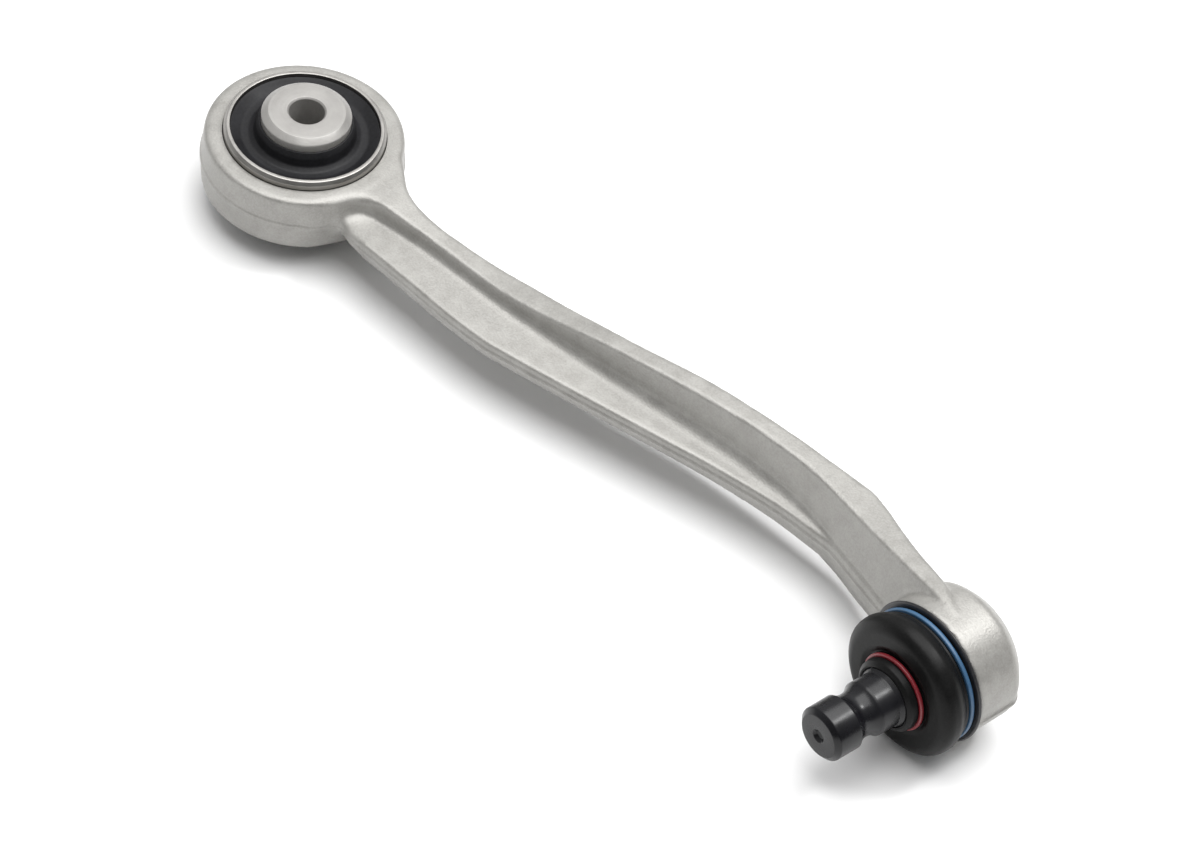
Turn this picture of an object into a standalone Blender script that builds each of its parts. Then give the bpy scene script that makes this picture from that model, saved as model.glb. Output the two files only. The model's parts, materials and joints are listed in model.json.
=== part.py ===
"""Forged front upper control arm with a rubber-metal bush and a side-facing ball joint.

Run with: blender --background --python part.py
Units are metres, +Z is up. The bush axis is vertical, +X runs along the arm from the
bush to the ball joint, and the ball joint's stud points to -Y.
"""

import math

import bmesh
import bpy
from mathutils import Matrix, Vector

MM = 0.001
GAP = 0.3 * MM

# Places of the two joints
BUSH_X, BUSH_Y = -121.7 * MM, 11.2 * MM
BALL_X, BALL_Y, BALL_Z = BUSH_X + 252.1 * MM, BUSH_Y - 6.0 * MM, 21.15 * MM
STUD_YAW = math.radians(7.6)

# Bush
CORE_LENGTH = 36.4 * MM
CORE_RADIUS = 13.2 * MM
BOLT_HOLE_RADIUS = 5.25 * MM
PARTING_Z = CORE_LENGTH / 2
SLEEVE_HALF = 12.0 * MM
SLEEVE_IN, SLEEVE_OUT = 21.9 * MM, 23.8 * MM
EYE_HALF = 9.3 * MM
EYE_BORE = SLEEVE_OUT + GAP
EYE_RADIUS, EYE_DRAFT = 29.2 * MM, 0.7 * MM

# Ball joint, radii and places along the stud's axis from the ball's centre
BALL_RADIUS = 11.0 * MM
HOUSING_RADIUS = 20.2 * MM
HOUSING_FRONT, HOUSING_BACK = 5.6 * MM, -9.6 * MM
NECK_RADIUS, NECK_FRONT = 16.2 * MM, 9.5 * MM
BORE_RADIUS = 14.0 * MM
SEAT_RING_RADIUS = 21.1 * MM
BULGE_RADIUS = 20.9 * MM
PIN_RADIUS = 8.0 * MM
GROOVE_RADIUS = 6.55 * MM
GROOVE_CENTRE, GROOVE_HALF = 33.0 * MM, 3.6 * MM
PIN_END = 45.8 * MM

# Beam: each edge line of its cross-section, as (distance from the bush axis, value) in mm
RIM_TOP = [(25, 27.1), (36, 27.0), (55, 25.6), (72, 25.3), (92, 26.8), (118, 30.8),
           (156, 33.8), (209, 36.4), (224, 38.2), (238, 40.0), (251, 41.0)]
RIM_BOTTOM = [(25, 9.3), (55, 10.0), (131, 7.6), (195, 6.4), (215, 7.6), (251, 7.0)]
RIM_OUTER = [(25, 6.5), (50, 4.2), (88, 7.2), (116, 8.6), (154, 13.5), (182, 14.6),
             (205, 14.2), (213, 12.4), (230, 5.4), (242, 1.6), (251, -2.4)]
RIM_INNER = [(25, -2.4), (55, -1.7), (80, -1.1), (105, 1.1), (156, 7.0), (170, 8.0),
             (183, 7.9), (209, 4.5), (224, 0.7), (242, -3.2), (251, -5.6)]
WEB_EDGE = [(25, -12.6), (45, -14.3), (72, -15.2), (86, -14.8), (110, -11.1), (145, -5.0),
            (168, -0.7), (190, 2.0), (210, 2.4), (225, -0.4), (251, -7.0)]
WEB_HALF = 3.0
STATIONS = 25
WALL_DRAFT = 0.10
FOOT_RADIUS = 4.0
EDGE_CHAMFER = 0.8

SEGMENTS = 36
EYE_SEGMENTS = 48

FINISHES = {
    "forged_aluminium": ((0.62, 0.60, 0.56), 0.45, 1.0),
    "sleeve_steel": ((0.45, 0.44, 0.42), 0.40, 1.0),
    "core_steel": ((0.62, 0.60, 0.57), 0.35, 1.0),
    "bush_rubber": ((0.030, 0.030, 0.032), 0.70, 0.0),
    "boot_rubber": ((0.035, 0.034, 0.035), 0.55, 0.0),
    "stud_steel": ((0.045, 0.045, 0.048), 0.38, 0.6),
    "blue_ring": ((0.08, 0.22, 0.38), 0.35, 0.0),
    "red_ring": ((0.30, 0.02, 0.04), 0.40, 0.0),
    "race_plastic": ((0.80, 0.80, 0.76), 0.50, 0.0),
    "seat_plastic": ((0.020, 0.020, 0.022), 0.45, 0.0),
    "plate_steel": ((0.50, 0.50, 0.49), 0.35, 1.0),
}


def clear_scene():
    for item in list(bpy.data.objects):
        bpy.data.objects.remove(item, do_unlink=True)


def material(slot):
    found = bpy.data.materials.get(slot)
    if found:
        return found
    colour, roughness, metallic = FINISHES[slot]
    made = bpy.data.materials.new(slot)
    made.use_nodes = True
    shader = made.node_tree.nodes["Principled BSDF"]
    shader.inputs["Base Color"].default_value = (*colour, 1.0)
    shader.inputs["Roughness"].default_value = roughness
    shader.inputs["Metallic"].default_value = metallic
    return made


def finish(name, mesh_data, slot, matrix=None):
    """Write a bmesh to a new object, smooth on its round faces."""
    bmesh.ops.recalc_face_normals(mesh_data, faces=mesh_data.faces)
    mesh = bpy.data.meshes.new(name)
    mesh_data.to_mesh(mesh)
    mesh_data.free()
    mesh.shade_smooth()
    mesh.set_sharp_from_angle(angle=math.radians(35))
    item = bpy.data.objects.new(name, mesh)
    item.data.materials.append(material(slot))
    item.matrix_world = matrix or Matrix()
    bpy.context.scene.collection.objects.link(item)
    return item


def bush_frame():
    return Matrix.Translation((BUSH_X, BUSH_Y, PARTING_Z))


def stud_frame():
    """Local +Z runs along the stud, from the ball's centre to the pin's end."""
    along = Vector((-math.sin(STUD_YAW), -math.cos(STUD_YAW), 0))
    turn = along.to_track_quat("Z", "Y").to_matrix().to_4x4()
    return Matrix.Translation((BALL_X, BALL_Y, BALL_Z)) @ turn


def turned_mesh(profile, segments=SEGMENTS):
    """Spin a closed (radius, height) outline about Z. Points on the axis are welded."""
    shape = bmesh.new()
    points = [shape.verts.new((radius, 0, height)) for radius, height in profile]
    open_ended = profile[0][0] == 0 and profile[-1][0] == 0
    edges = [shape.edges.new(pair) for pair in zip(points, points[1:])]
    if not open_ended:
        edges.append(shape.edges.new((points[-1], points[0])))
    bmesh.ops.spin(
        shape, geom=points + edges, cent=(0, 0, 0), axis=(0, 0, 1),
        angle=math.tau, steps=segments, use_merge=True, use_duplicate=False,
    )
    bmesh.ops.remove_doubles(shape, verts=shape.verts, dist=1e-6)
    return shape


def turned(name, profile, slot, matrix, segments=SEGMENTS):
    return finish(name, turned_mesh(profile, segments), slot, matrix)


def arc(radius, height, size, start, stop, steps):
    """Points of a circular arc in the (radius, height) plane; angles in degrees."""
    points = []
    for step in range(steps + 1):
        angle = math.radians(start + (stop - start) * step / steps)
        points.append((radius + size * math.cos(angle), height + size * math.sin(angle)))
    return points


def along(line, x):
    """Read an edge line at x with a smooth monotone cubic through its points."""
    xs = [point[0] for point in line]
    ys = [point[1] for point in line]
    if x <= xs[0]:
        return ys[0]
    if x >= xs[-1]:
        return ys[-1]
    slopes = [(b - a) / (d - c) for a, b, c, d in zip(ys, ys[1:], xs, xs[1:])]
    tangents = [slopes[0]]
    for before, after in zip(slopes, slopes[1:]):
        same_way = before * after > 0
        tangents.append(2 * before * after / (before + after) if same_way else 0.0)
    tangents.append(slopes[-1])
    index = next(i for i in range(len(xs) - 1) if x <= xs[i + 1])
    width = xs[index + 1] - xs[index]
    t = (x - xs[index]) / width
    h00 = 2 * t**3 - 3 * t**2 + 1
    h10 = t**3 - 2 * t**2 + t
    h01 = 3 * t**2 - 2 * t**3
    h11 = t**3 - t**2
    return (h00 * ys[index] + h10 * width * tangents[index]
            + h01 * ys[index + 1] + h11 * width * tangents[index + 1])


def beam_section(x):
    """One cross-section of the beam, (y, z) in mm: a flange with a web on its -Y side."""
    top, bottom = along(RIM_TOP, x), along(RIM_BOTTOM, x)
    outer, inner = along(RIM_OUTER, x), along(RIM_INNER, x)
    parting = PARTING_Z / MM
    web_top, web_bottom = parting + WEB_HALF, parting - WEB_HALF
    tallest = max(top - web_top, web_bottom - bottom)
    edge = min(along(WEB_EDGE, x), inner - WALL_DRAFT * tallest - 2.0 * EDGE_CHAMFER)

    def half(sign, web_level, rim_level):
        height = abs(rim_level - web_level)
        foot = inner - WALL_DRAFT * height
        floor = foot - edge - EDGE_CHAMFER
        bend = min(FOOT_RADIUS, 0.6 * height, 0.9 * floor)
        corner = [(edge, web_level - sign * EDGE_CHAMFER), (edge + EDGE_CHAMFER, web_level)]
        fillet = []
        for step in range(4):
            angle = math.radians(90 - 30 * step)
            fillet.append((foot - bend + bend * math.cos(angle),
                           web_level + sign * bend * (1 - math.sin(angle))))
        rim = [(inner, rim_level - sign * EDGE_CHAMFER),
               (inner + EDGE_CHAMFER, rim_level),
               (outer - EDGE_CHAMFER, rim_level),
               (outer, rim_level - sign * EDGE_CHAMFER)]
        return corner + fillet + rim

    upper = half(1, web_top, top)
    lower = half(-1, web_bottom, bottom)
    middle = [(outer + WALL_DRAFT * (top - parting) * 0.5, parting)]
    return upper + middle + lower[::-1] + [(edge - 0.3, parting)]


def beam_mesh():
    """Bridge the cross-sections from inside the eye to inside the ball joint housing."""
    shape = bmesh.new()
    first, last = RIM_TOP[0][0], RIM_TOP[-1][0]
    loops = []
    for step in range(STATIONS + 1):
        x = first + (last - first) * step / STATIONS
        ring = [shape.verts.new((BUSH_X + x * MM, BUSH_Y + y * MM, z * MM))
                for y, z in beam_section(x)]
        loops.append([shape.edges.new(pair) for pair in zip(ring, ring[1:] + ring[:1])])
        if step in (0, STATIONS):
            shape.faces.new(ring)
    for near, far in zip(loops, loops[1:]):
        bmesh.ops.bridge_loops(shape, edges=near + far)
    return shape


def boolean(target, tool, operation):
    change = target.modifiers.new(operation.lower(), "BOOLEAN")
    change.object = tool
    change.operation = operation
    change.solver = "EXACT"
    tool.hide_render = True
    tool.display_type = "WIRE"


def control_arm():
    """The forging: eye, beam and housing in one, bored for the bush and the ball joint."""
    rounding = 1.6 * MM
    eye = [
        (EYE_BORE, -EYE_HALF), (EYE_RADIUS - rounding, -EYE_HALF),
        (EYE_RADIUS - 0.5 * rounding, -EYE_HALF + 0.15 * rounding),
        (EYE_RADIUS, -EYE_HALF + rounding), (EYE_RADIUS + EYE_DRAFT, 0),
        (EYE_RADIUS, EYE_HALF - rounding),
        (EYE_RADIUS - 0.5 * rounding, EYE_HALF - 0.15 * rounding),
        (EYE_RADIUS - rounding, EYE_HALF), (EYE_BORE, EYE_HALF),
    ]
    housing = [
        (0, -13.6 * MM), (15.6 * MM, -13.6 * MM), (16.6 * MM, -12.6 * MM),
        (19.3 * MM, -10.6 * MM), (HOUSING_RADIUS - 0.3 * MM, HOUSING_BACK),
        (HOUSING_RADIUS, HOUSING_BACK + 1.6 * MM), (HOUSING_RADIUS, HOUSING_FRONT),
        (NECK_RADIUS, HOUSING_FRONT), (NECK_RADIUS, NECK_FRONT - 0.6 * MM),
        (NECK_RADIUS - 0.6 * MM, NECK_FRONT), (0, NECK_FRONT),
    ]
    cavity = [
        (0, -15.0 * MM), (12.6 * MM, -15.0 * MM), (12.6 * MM, -13.0 * MM),
        (BORE_RADIUS, -12.9 * MM), (BORE_RADIUS, 0.5 * MM), (10.5 * MM, 5.7 * MM),
        (11.3 * MM, NECK_FRONT - 0.5 * MM), (12.4 * MM, 11.0 * MM), (0, 11.0 * MM),
    ]
    arm = finish("control_arm", beam_mesh(), "forged_aluminium")
    boolean(arm, turned("eye_ring", eye, "forged_aluminium", bush_frame(), EYE_SEGMENTS), "UNION")
    boolean(arm, turned("housing_blank", housing, "forged_aluminium", stud_frame()), "UNION")
    boolean(arm, turned("ball_cavity", cavity, "forged_aluminium", stud_frame()), "DIFFERENCE")


def bush():
    """Outer sleeve pressed in the eye, rubber bonded in it, and the inner core."""
    rim = 0.7 * MM
    sleeve = [
        (SLEEVE_IN, -SLEEVE_HALF), (SLEEVE_OUT - rim, -SLEEVE_HALF),
        (SLEEVE_OUT, -SLEEVE_HALF + 1.6 * rim), (SLEEVE_OUT, SLEEVE_HALF - 1.6 * rim),
        (SLEEVE_OUT - rim, SLEEVE_HALF), (SLEEVE_IN, SLEEVE_HALF),
    ]
    turned("bush_outer_sleeve", sleeve, "sleeve_steel", bush_frame(), EYE_SEGMENTS)

    half, waist = CORE_LENGTH / 2, 9.4 * MM
    core_side = [
        (11.6 * MM, half), (CORE_RADIUS, half - 1.5 * MM), (CORE_RADIUS, half - 4.0 * MM),
        (waist, half - 7.0 * MM),
    ]
    hole = [(BOLT_HOLE_RADIUS, -half + 0.6 * MM), (BOLT_HOLE_RADIUS, half - 0.6 * MM),
            (BOLT_HOLE_RADIUS + 0.6 * MM, half)]
    core = (hole + core_side + [(radius, -z) for radius, z in core_side[::-1]]
            + [(BOLT_HOLE_RADIUS + 0.6 * MM, -half)])
    turned("bush_inner_sleeve", core, "core_steel", bush_frame())

    bonded = SLEEVE_IN - GAP
    rubber_side = [
        (CORE_RADIUS + GAP, half - 4.3 * MM), (CORE_RADIUS + 1.0 * MM, half - 4.5 * MM),
        (14.6 * MM, half - 6.0 * MM), (15.6 * MM, half - 9.6 * MM),
        (18.4 * MM, half - 10.8 * MM), (20.4 * MM, half - 9.2 * MM),
        (bonded, half - 7.4 * MM),
    ]
    inside = [(CORE_RADIUS + GAP, half - 4.3 * MM), (waist + GAP, half - 7.3 * MM)]
    rubber = ([(radius, -z) for radius, z in inside] + [(radius, z) for radius, z in inside[::-1]]
              + rubber_side[1:] + [(radius, -z) for radius, z in rubber_side[:0:-1]])
    turned("bush_rubber", rubber, "bush_rubber", bush_frame())


def ball_joint():
    """Stud, race, closing plate, seat ring, dust boot and its two clamping rings."""
    frame = stud_frame()
    neck = 6.0 * MM
    start = 90 - math.degrees(math.asin(neck / BALL_RADIUS))
    ball = arc(0, 0, BALL_RADIUS, -90, start, 9)
    ball[0] = (0, -BALL_RADIUS)
    groove_size = (GROOVE_HALF**2 + (PIN_RADIUS - GROOVE_RADIUS)**2) / (
        2 * (PIN_RADIUS - GROOVE_RADIUS))
    sweep = math.degrees(math.asin(GROOVE_HALF / groove_size))
    groove = arc(GROOVE_RADIUS + groove_size, GROOVE_CENTRE, groove_size,
                 180 + sweep, 180 - sweep, 4)
    stud = ball + [
        (neck, 12.5 * MM), (7.8 * MM, 17.4 * MM), (8.7 * MM, 19.0 * MM),
        (8.7 * MM, 22.3 * MM), (PIN_RADIUS, 22.9 * MM),
    ] + groove + [
        (PIN_RADIUS, PIN_END - 1.6 * MM), (PIN_RADIUS - 0.5 * MM, PIN_END - 0.6 * MM),
        (PIN_RADIUS - 1.7 * MM, PIN_END), (1.9 * MM, PIN_END), (0, PIN_END - 1.5 * MM),
    ]
    turned("ball_stud", stud, "stud_steel", frame)

    cup = BALL_RADIUS + GAP
    race_back, race_front = -9.4 * MM, 5.3 * MM
    low = -math.degrees(math.asin(-race_back / cup))
    high = math.degrees(math.asin(race_front / cup))
    outside = BORE_RADIUS - GAP
    race = arc(0, 0, cup, low, high, 7) + [
        (10.4 * MM, race_front), (outside, 0.4 * MM), (outside, race_back),
    ]
    turned("ball_race", race, "race_plastic", frame)

    plate = [(0, -12.55 * MM), (outside, -12.55 * MM), (outside, -11.6 * MM), (0, -11.6 * MM)]
    turned("closing_plate", plate, "plate_steel", frame)

    seat_in = NECK_RADIUS + GAP
    seat_back, seat_front = HOUSING_FRONT + GAP, HOUSING_FRONT + 1.2 * MM
    seat = [(seat_in, seat_back), (SEAT_RING_RADIUS - 0.3 * MM, seat_back),
            (SEAT_RING_RADIUS, seat_back + 0.4 * MM), (SEAT_RING_RADIUS - 0.4 * MM, seat_front),
            (seat_in, seat_front)]
    turned("boot_seat_ring", seat, "seat_plastic", frame)

    foot = seat_front + GAP
    ring_in = 18.3 * MM
    boot_outside = [
        (seat_in, foot), (ring_in, foot), (ring_in, foot + 1.9 * MM),
        (18.9 * MM, foot + 2.2 * MM), (18.7 * MM, foot + 3.4 * MM),
    ] + arc(BULGE_RADIUS - 4.0 * MM, 13.9 * MM, 4.0 * MM, -40, 80, 6) + [
        (14.2 * MM, 17.6 * MM), (12.0 * MM, 17.1 * MM), (10.3 * MM, 17.4 * MM),
        (10.3 * MM, 19.5 * MM), (10.6 * MM, 20.0 * MM), (10.4 * MM, 21.6 * MM),
        (9.6 * MM, 22.5 * MM),
    ]
    lip_in = 9.0 * MM
    boot_inside = [
        (lip_in, 22.4 * MM), (lip_in, 16.4 * MM), (11.6 * MM, 15.4 * MM),
        (14.2 * MM, 15.8 * MM),
    ] + arc(BULGE_RADIUS - 4.0 * MM, 13.8 * MM, 2.3 * MM, 80, -40, 3) + [
        (16.8 * MM, foot + 3.4 * MM), (seat_in, foot + 2.6 * MM),
    ]
    turned("dust_boot", boot_outside + boot_inside, "boot_rubber", frame)

    blue = [(ring_in + GAP, foot + 0.2 * MM), (ring_in + 1.4 * MM, foot + 0.2 * MM),
            (ring_in + 1.6 * MM, foot + 0.9 * MM), (ring_in + 1.4 * MM, foot + 1.6 * MM),
            (ring_in + GAP, foot + 1.6 * MM)]
    turned("boot_outer_ring", blue, "blue_ring", frame)

    red = arc(11.35 * MM, 18.45 * MM, 0.72 * MM, 0, 315, 7)
    turned("boot_inner_ring", red, "red_ring", frame)


clear_scene()
control_arm()
bush()
ball_joint()
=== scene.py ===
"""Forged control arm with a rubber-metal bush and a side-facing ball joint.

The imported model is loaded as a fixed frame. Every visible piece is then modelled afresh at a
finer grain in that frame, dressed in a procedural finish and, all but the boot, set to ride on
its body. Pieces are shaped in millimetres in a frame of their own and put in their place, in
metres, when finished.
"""

from __future__ import annotations

import json
import logging
import math
from dataclasses import dataclass, field
from enum import Enum

import bmesh
import bpy
from mathutils import Matrix, Vector

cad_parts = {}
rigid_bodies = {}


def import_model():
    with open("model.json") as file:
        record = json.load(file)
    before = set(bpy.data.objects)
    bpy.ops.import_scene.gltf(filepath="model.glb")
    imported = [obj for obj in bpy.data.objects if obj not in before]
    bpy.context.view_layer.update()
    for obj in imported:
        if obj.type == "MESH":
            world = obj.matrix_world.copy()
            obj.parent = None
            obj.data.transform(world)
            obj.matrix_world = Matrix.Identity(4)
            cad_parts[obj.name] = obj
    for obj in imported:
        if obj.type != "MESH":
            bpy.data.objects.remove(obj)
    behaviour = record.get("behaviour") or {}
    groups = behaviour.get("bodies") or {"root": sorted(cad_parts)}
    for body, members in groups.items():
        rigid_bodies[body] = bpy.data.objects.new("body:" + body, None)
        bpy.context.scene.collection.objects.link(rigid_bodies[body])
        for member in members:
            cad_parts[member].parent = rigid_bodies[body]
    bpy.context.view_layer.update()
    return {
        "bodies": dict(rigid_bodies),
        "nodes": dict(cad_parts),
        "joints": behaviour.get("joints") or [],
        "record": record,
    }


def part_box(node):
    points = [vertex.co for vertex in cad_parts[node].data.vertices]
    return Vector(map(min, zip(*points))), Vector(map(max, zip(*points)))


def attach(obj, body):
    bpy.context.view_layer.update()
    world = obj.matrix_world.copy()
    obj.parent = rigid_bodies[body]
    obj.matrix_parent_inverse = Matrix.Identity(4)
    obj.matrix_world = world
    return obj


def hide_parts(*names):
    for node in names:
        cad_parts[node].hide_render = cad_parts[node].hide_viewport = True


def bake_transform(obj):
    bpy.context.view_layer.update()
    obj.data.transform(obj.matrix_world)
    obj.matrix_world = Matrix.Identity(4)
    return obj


LOG = logging.getLogger("control_arm")
MM = 0.001

Point = tuple[float, float]
Corner = tuple[float, float, float]
Place = tuple[float, float, float]
Colour = tuple[float, float, float]
Line = tuple[Point, ...]
Outline = tuple[Corner, ...]
Socket = bpy.types.NodeSocket


class Body(str, Enum):
    """The rigid bodies that pieces ride on."""

    ARM = "arm"
    CORE = "bush_core"
    SEAT = "ball_seat"
    NECK = "boot_neck"
    STUD = "stud"


class Slot(str, Enum):
    """The record's material slots."""

    FORGING = "forged_aluminium"
    SLEEVE = "sleeve_steel"
    CORE = "core_steel"
    BUSH_RUBBER = "bush_rubber"
    BOOT_RUBBER = "boot_rubber"
    STUD = "stud_steel"
    BLUE = "blue_ring"
    RED = "red_ring"
    RACE = "race_plastic"
    SEAT = "seat_plastic"
    PLATE = "plate_steel"


# --------------------------------------------------------------------------------------------
# Finishes
# --------------------------------------------------------------------------------------------

# Most of a noise's values lie in this range.
NOISE_RANGE: Point = (0.3, 0.7)
NOISE_ROUGHNESS = 0.55
CLOUD_DETAIL = 4.0
GRAIN_DETAIL = 3.0
COARSE_DETAIL = 2.0

# The places of the Mix node's colour sockets.
MIX_FIRST, MIX_SECOND, MIX_RESULT = 6, 7, 2


class Graph:
    """A node tree, with short calls for the few nodes that the finishes and the sky use."""

    def __init__(self, owner: bpy.types.Material | bpy.types.World) -> None:
        """Turn on the nodes of a material or a world."""
        owner.use_nodes = True
        self.tree = owner.node_tree

    def feed(self, socket: Socket, value: object) -> None:
        """Give a socket a constant, or link another node's output to it.

        Args:
            socket: the input.
            value: the constant or the output socket.
        """
        if isinstance(value, Socket):
            self.tree.links.new(value, socket)
        else:
            socket.default_value = value

    def add(self, kind: str, *ordered: object, operation: str | None = None,
            **named: object) -> bpy.types.Node:
        """Add a node and feed its inputs with constants or output sockets.

        Args:
            kind: the node's type name without its ShaderNode prefix.
            *ordered: a value for each of the first inputs.
            operation: what a maths node does.
            **named: a value for each input by name, spaces written as underscores.

        Returns:
            The new node.
        """
        node = self.tree.nodes.new("ShaderNode" + kind)
        if operation:
            node.operation = operation
        for socket, value in zip(node.inputs, ordered):
            self.feed(socket, value)
        for name, value in named.items():
            self.feed(node.inputs[name.replace("_", " ")], value)
        return node

    def place(self, centre: Vector) -> Socket:
        """Object coordinates about a centre, in metres.

        Args:
            centre: the pattern's middle.

        Returns:
            The socket that carries the coordinates.
        """
        coordinates = self.add("TexCoord").outputs["Object"]
        shift = self.add("VectorMath", coordinates, tuple(centre), operation="SUBTRACT")
        return shift.outputs["Vector"]

    def noise(self, where: Socket, size: float, detail: float) -> Socket:
        """Cloudy noise.

        Args:
            where: its coordinates.
            size: how large its features are, in metres.
            detail: how many finer levels it has.

        Returns:
            The socket that carries the noise.
        """
        node = self.add("TexNoise", Vector=where, Scale=1.0 / size, Detail=detail,
                        Roughness=NOISE_ROUGHNESS)
        return node.outputs["Fac"]

    def spread(self, value: Socket, source: Point, target: Point) -> Socket:
        """Map a value from one range to another, clamped.

        Args:
            value: the value.
            source: the range it comes from.
            target: the range it goes to.

        Returns:
            The socket that carries the mapped value.
        """
        node = self.add("MapRange", Value=value, From_Min=source[0], From_Max=source[1],
                        To_Min=target[0], To_Max=target[1])
        return node.outputs["Result"]

    def tint(self, share: Socket, dark: Colour, light: Colour) -> Socket:
        """A colour between two.

        Args:
            share: where it lies between them, 0 to 1.
            dark: the colour at 0.
            light: the colour at 1.

        Returns:
            The socket that carries the colour.
        """
        node = self.add("Mix", Factor=share)
        node.data_type = "RGBA"
        node.inputs[MIX_FIRST].default_value = (*dark, 1.0)
        node.inputs[MIX_SECOND].default_value = (*light, 1.0)
        return node.outputs[MIX_RESULT]

    def bump(self, height: Socket, depth: float, under: Socket | None = None) -> Socket:
        """A bump.

        Args:
            height: the pattern that it raises.
            depth: how far it raises it, in metres.
            under: another bump that it lies on, if any.

        Returns:
            The socket that carries the normal.
        """
        node = self.add("Bump", Height=height, Distance=depth, Strength=1.0)
        if under is not None:
            self.feed(node.inputs["Normal"], under)
        return node.outputs["Normal"]


@dataclass(frozen=True)
class Finish:
    """A surface: two close tints in a cloudy pattern, a fine grain and a roughness range.

    Feature sizes and depths are in metres. The tint follows the clouds plus a share of the fine
    pattern, and goes from dark to light over the given range of that sum.
    """

    name: str
    dark: Colour
    light: Colour
    rough: Point
    metallic: float = 0.0
    cloud: float = 0.008
    grain: float = 0.0005
    grain_depth: float = 0.00001
    swell: float = 0.0
    swell_depth: float = 0.0
    specular: float = 0.5
    centre: Vector = field(default_factory=Vector)
    fine_share: float = 0.9
    tint_range: Point = (0.70, 1.20)

    def make(self) -> bpy.types.Material:
        """Build the finish.

        Returns:
            The new material.
        """
        material = bpy.data.materials.new(self.name)
        graph = Graph(material)
        where = graph.place(self.centre)
        clouds = graph.noise(where, self.cloud, CLOUD_DETAIL)
        grain = graph.noise(where, self.grain, GRAIN_DETAIL)
        fine = self.fine_pattern(graph, where, grain)
        mixed = graph.add("Math", fine, self.fine_share, clouds, operation="MULTIPLY_ADD")
        share = graph.spread(mixed.outputs["Value"], self.tint_range, (0.0, 1.0))
        normal = graph.bump(grain, self.grain_depth)
        if self.swell:
            waves = graph.noise(where, self.swell, COARSE_DETAIL)
            normal = graph.bump(waves, self.swell_depth, normal)
        inputs = graph.tree.nodes["Principled BSDF"].inputs
        graph.feed(inputs["Base Color"], graph.tint(share, self.dark, self.light))
        graph.feed(inputs["Roughness"], graph.spread(clouds, NOISE_RANGE, self.rough))
        graph.feed(inputs["Metallic"], self.metallic)
        graph.feed(inputs["Specular IOR Level"], self.specular)
        graph.feed(inputs["Normal"], normal)
        return material

    def fine_pattern(self, graph: Graph, where: Socket, grain: Socket) -> Socket:
        """The fine pattern in the tint: the grain itself."""
        return grain


@dataclass(frozen=True)
class TurnedFinish(Finish):
    """A lathe-turned surface: fine rings about the piece's axis on top of the clouds."""

    fine_share: float = 0.35
    tint_range: Point = (0.4, 1.075)
    axis: Vector = field(default_factory=lambda: Vector((0.0, 0.0, 1.0)))
    pitch: float = 0.0004

    def fine_pattern(self, graph: Graph, where: Socket, grain: Socket) -> Socket:
        """Noise that only changes along the axis and with the distance from the centre.

        Args:
            graph: the tree to add to.
            where: coordinates about the centre.
            grain: the grain, which stays out of the tint here.

        Returns:
            The socket that carries the noise.
        """
        along = graph.add("VectorMath", where, tuple(self.axis), operation="DOT_PRODUCT")
        distance = graph.add("VectorMath", where, operation="LENGTH")
        rings = graph.add("CombineXYZ", distance.outputs["Value"], along.outputs["Value"])
        return graph.noise(rings.outputs["Vector"], self.pitch, COARSE_DETAIL)


# --------------------------------------------------------------------------------------------
# Shapes
# --------------------------------------------------------------------------------------------

# A corner's arc may take up to this share of the shorter side beside it.
LARGEST_REACH = 0.49
MERGE_DISTANCE = 1e-4


def rounded(corners: Outline, closed: bool = True, turn: float = 12.0) -> list[Point]:
    """Round each corner of an outline with an arc.

    Args:
        corners: (radius, height, size of the rounding) of each corner, in mm.
        closed: True for a ring's outline, False for one that starts and ends on the axis.
        turn: the largest turn in degrees between two points of an arc.

    Returns:
        The outline's (radius, height) points.
    """
    points: list[Point] = []
    count = len(corners)
    for index, (x, y, size) in enumerate(corners):
        at_end = not closed and index in (0, count - 1)
        if size <= 0 or at_end:
            points.append((x, y))
            continue
        here = Vector((x, y))
        to_last = Vector(corners[index - 1][:2]) - here
        to_next = Vector(corners[(index + 1) % count][:2]) - here
        opening = to_last.angle(to_next)
        reach = size / math.tan(opening / 2)
        reach = min(reach, LARGEST_REACH * to_last.length, LARGEST_REACH * to_next.length)
        size = reach * math.tan(opening / 2)
        start = here + to_last.normalized() * reach
        middle = here + (to_last.normalized() + to_next.normalized()).normalized() * (
            size / math.sin(opening / 2))
        swing = math.pi - opening
        steps = max(2, math.ceil(math.degrees(swing) / turn))
        spoke = start - middle
        side = 1.0 if to_last.x * to_next.y - to_last.y * to_next.x < 0 else -1.0
        for step in range(steps + 1):
            arm = spoke.copy()
            arm.rotate(Matrix.Rotation(side * swing * step / steps, 2))
            points.append(tuple(middle + arm))
    return points


def turned(outline: list[Point], segments: int = 128) -> bmesh.types.BMesh:
    """Spin an outline once round Z.

    Args:
        outline: (radius, height) points in mm; ends on the axis close the shape there.
        segments: steps of the full turn.

    Returns:
        A closed mesh with its faces outwards.
    """
    shape = bmesh.new()
    points = [shape.verts.new((radius, 0.0, height)) for radius, height in outline]
    edges = [shape.edges.new(pair) for pair in zip(points, points[1:])]
    if outline[0][0] > 0:
        edges.append(shape.edges.new((points[-1], points[0])))
    bmesh.ops.spin(shape, geom=points + edges, cent=(0, 0, 0), axis=(0, 0, 1),
                   angle=math.tau, steps=segments, use_merge=True, use_duplicate=False)
    bmesh.ops.remove_doubles(shape, verts=shape.verts, dist=MERGE_DISTANCE)
    bmesh.ops.recalc_face_normals(shape, faces=shape.faces)
    return shape


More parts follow.
